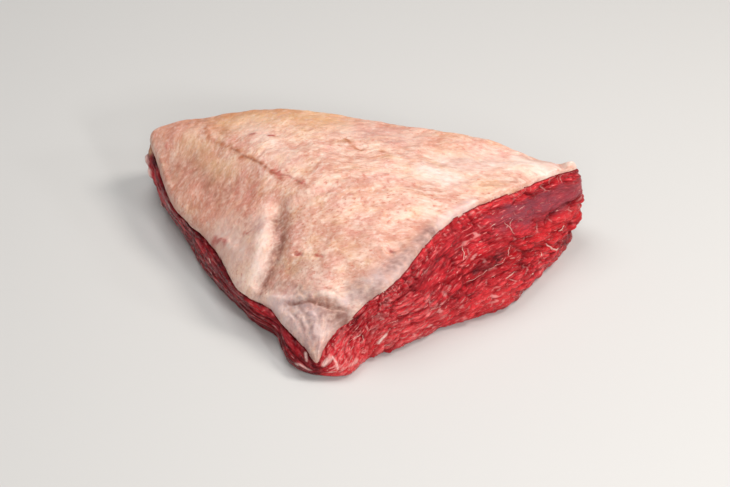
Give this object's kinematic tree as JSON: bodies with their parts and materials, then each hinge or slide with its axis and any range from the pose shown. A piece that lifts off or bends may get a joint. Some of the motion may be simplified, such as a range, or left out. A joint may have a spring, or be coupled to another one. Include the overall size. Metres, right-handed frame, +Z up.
{
  "type": "raw picanha",
  "caption": "Whole raw picanha: a triangular beef rump cap lying fat side up, with a folded fat layer, a cut face of coarse muscle fibres and a flat underside.",
  "frame": {"origin": "on the surface that the piece rests on, under the centre of its bounding box", "axes": "+X along the longest extent, towards the thick corner at the far end of the cut face; +Y away from the near tip, towards the long side; +Z up, through the fat layer"},
  "size_m": [0.2624, 0.1864, 0.0644],
  "materials": {
    "beef_fat": "moist waxy beef fat with a thin membrane, semi-gloss",
    "raw_beef": "wet raw muscle, glossy"
  },
  "bodies": {
    "root": {"fat_cap": "beef_fat", "lean": "raw_beef"}
  },
  "joints": []
}
